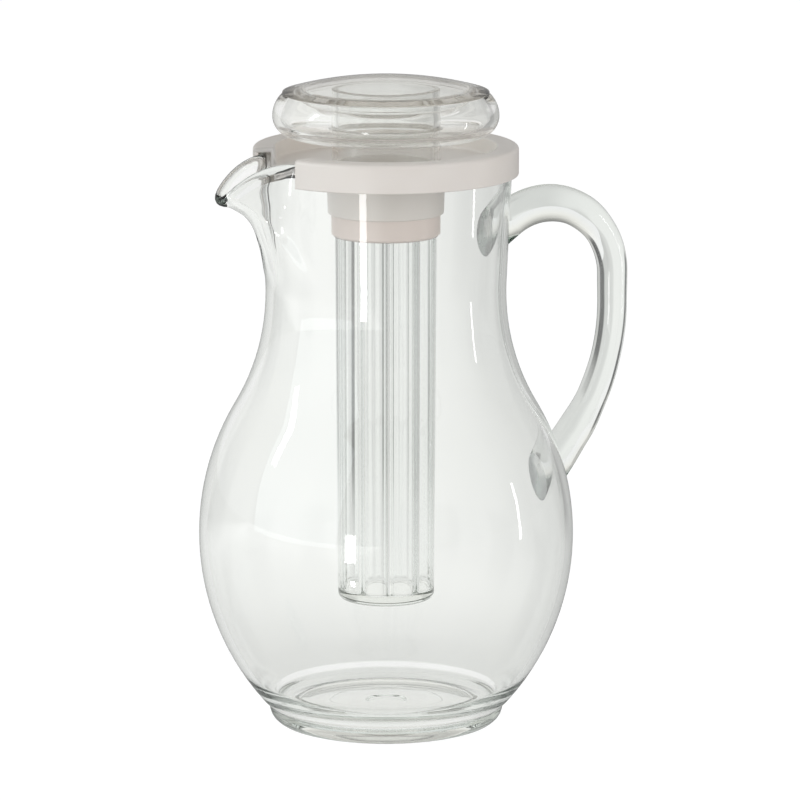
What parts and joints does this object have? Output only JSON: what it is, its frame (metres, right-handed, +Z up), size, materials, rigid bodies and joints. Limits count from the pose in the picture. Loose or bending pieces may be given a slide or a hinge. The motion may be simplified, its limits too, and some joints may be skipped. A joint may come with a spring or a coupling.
{
  "type": "pitcher with ice core",
  "caption": "Clear pear-shaped pitcher with spout and loop handle, a white ring lid, a saucer-shaped clear cap and a fluted ice tube that hangs inside.",
  "frame": {"origin": "centre of the foot ring on the resting plane, on the vessel's axis", "axes": "+Z up along the vessel's axis, spout along -X, handle along +X, so +Y is across"},
  "size_m": [0.1882, 0.1522, 0.2648],
  "materials": {
    "clear_body": "clear polycarbonate, polished mould finish",
    "clear_handle": "clear solid plastic, polished",
    "white_lid": "off-white moulded plastic, satin",
    "white_collar": "off-white moulded plastic, satin",
    "clear_cap": "clear plastic, polished",
    "clear_tube": "clear moulded plastic, polished",
    "seal_rubber": "translucent silicone rubber"
  },
  "bodies": {
    "vessel": {"pitcher_body": "clear_body", "handle": "clear_handle"},
    "lid_set": {"lid": "white_lid", "tube_seal": "seal_rubber"},
    "cap": {"cap_bowl": "clear_cap", "cap_dome": "clear_cap", "cap_seal": "seal_rubber"},
    "core": {"ice_tube": "clear_tube"},
    "ring_nut": {"tube_collar": "white_collar"}
  },
  "joints": [
    {"name": "lid_lift", "type": "slide", "parent": "vessel", "child": "lid_set", "axis": [0, 0, 1], "range_m": [0, 0.195]},
    {"name": "cap_lift", "type": "slide", "parent": "lid_set", "child": "cap", "axis": [0, 0, 1], "range_m": [0, 0.035]},
    {"name": "tube_lower", "type": "slide", "parent": "lid_set", "child": "core", "axis": [0, 0, -1], "range_m": [0, 0.0046]},
    {"name": "collar_turn", "type": "hinge", "parent": "core", "child": "ring_nut", "pos_m": [0, 0, 0.2075], "axis": [0, 0, -1], "range_deg": [0, 540]}
  ],
  "couplings": [
    {"joint": "tube_lower", "follows": "collar_turn", "m_per_rad": 0.00047746}
  ]
}
